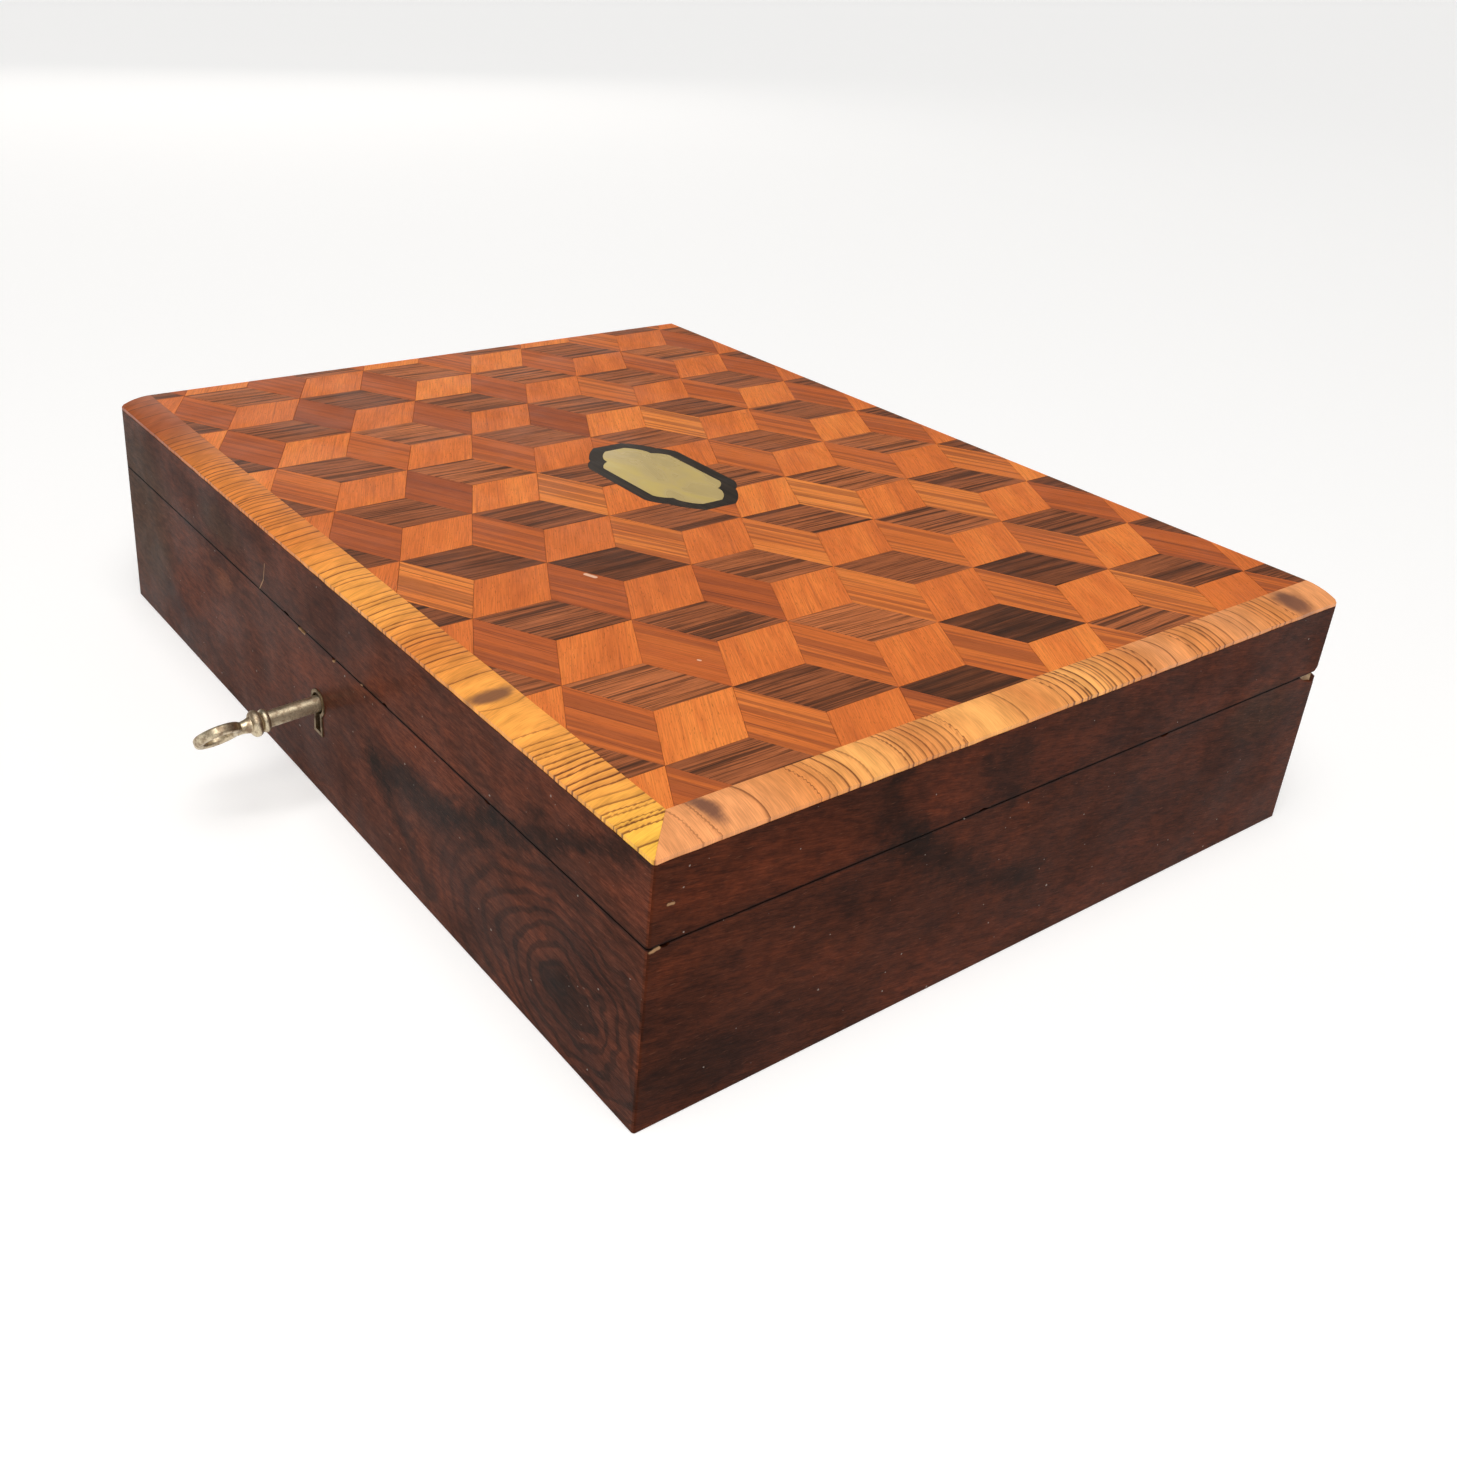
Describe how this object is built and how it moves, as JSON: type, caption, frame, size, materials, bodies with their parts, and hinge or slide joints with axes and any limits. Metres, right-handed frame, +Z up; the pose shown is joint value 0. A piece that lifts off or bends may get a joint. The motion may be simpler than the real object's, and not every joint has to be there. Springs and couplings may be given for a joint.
{
  "type": "keyed veneered casket",
  "caption": "Low rectangular wooden casket with a hinged lid in cube-pattern marquetry, an inlaid central plaque, a box lock and its key.",
  "frame": {"origin": "centre of the flat underside", "axes": "+X along the front to the right, +Y from the lock to the hinges, +Z up"},
  "size_m": [0.295, 0.2621, 0.0704],
  "materials": {
    "rosewood": "french polished dark rosewood veneer, red brown with black streaks, worn",
    "carcase_wood": "plain pale carcase wood",
    "crossbanding": "polished yellow-orange wood with strong dark growth rings across the band",
    "marquetry_tulipwood": "polished striped red-brown lozenges",
    "marquetry_kingwood": "polished dark lozenges with fine near-black grain",
    "marquetry_satinwood": "polished orange lozenges",
    "ebony": "near-black polished ebony",
    "pearl": "aged mother-of-pearl, pale yellow-green and cloudy",
    "lining_cloth": "short-pile garnet cloth over card",
    "brass": "aged satin brass",
    "steel": "dull steel",
    "key_metal": "worn grey-gold plated steel"
  },
  "bodies": {
    "case": {"bottom_board": "carcase_wood", "body_front_wall": "carcase_wood", "body_right_wall": "carcase_wood", "body_back_wall": "carcase_wood", "body_left_wall": "carcase_wood", "body_front_veneer": "rosewood", "body_right_veneer": "rosewood", "body_back_veneer": "rosewood", "body_left_veneer": "rosewood", "body_rim_strips": "rosewood", "floor_lining": "lining_cloth", "body_lining_front": "lining_cloth", "body_lining_right": "lining_cloth", "body_lining_back": "lining_cloth", "body_lining_left": "lining_cloth", "lock_plate": "brass", "lock_cap": "brass", "lock_drill_pin": "steel", "lock_spring": "steel", "lock_screws": "steel", "keyhole_escutcheon": "brass", "hinge_left_body_leaf": "brass", "hinge_right_body_leaf": "brass", "hinge_left_pin": "brass", "hinge_right_pin": "brass", "body_hinge_screws": "steel"},
    "lid": {"lid_top_panel": "carcase_wood", "lid_front_wall": "carcase_wood", "lid_right_wall": "carcase_wood", "lid_back_wall": "carcase_wood", "lid_left_wall": "carcase_wood", "lid_front_veneer": "rosewood", "lid_right_veneer": "rosewood", "lid_back_veneer": "rosewood", "lid_left_veneer": "rosewood", "banding_front": "crossbanding", "banding_right": "crossbanding", "marquetry_tulipwood": "marquetry_tulipwood", "marquetry_kingwood": "marquetry_kingwood", "marquetry_satinwood": "marquetry_satinwood", "cartouche_frame": "ebony", "cartouche_plaque": "pearl", "lid_rim_strips": "rosewood", "lid_lining_pad": "lining_cloth", "lid_lining_front": "lining_cloth", "lid_lining_right": "lining_cloth", "lid_lining_back": "lining_cloth", "lid_lining_left": "lining_cloth", "link_plate": "brass", "link_plate_screws": "steel", "hinge_left_lid_leaf": "brass", "hinge_right_lid_leaf": "brass", "lid_hinge_screws": "steel"},
    "bolt": {"lock_bolt": "steel"},
    "key": {"key": "key_metal"}
  },
  "joints": [
    {"name": "lid_open", "type": "hinge", "parent": "case", "child": "lid", "pos_m": [0, 0.11195, 0.04735], "axis": [-1, 0, 0], "range_deg": [0, 95]},
    {"name": "key_turn", "type": "hinge", "parent": "case", "child": "key", "pos_m": [0, -0.11375, 0.02865], "axis": [0, -0.9981, -0.061], "range_deg": [0, 96]},
    {"name": "bolt_slide", "type": "slide", "parent": "case", "child": "bolt", "axis": [-1, 0, 0], "range_m": [0, 0.007]}
  ],
  "couplings": [
    {"joint": "key_turn", "follows": "bolt_slide", "rad_per_m": 239.36}
  ]
}
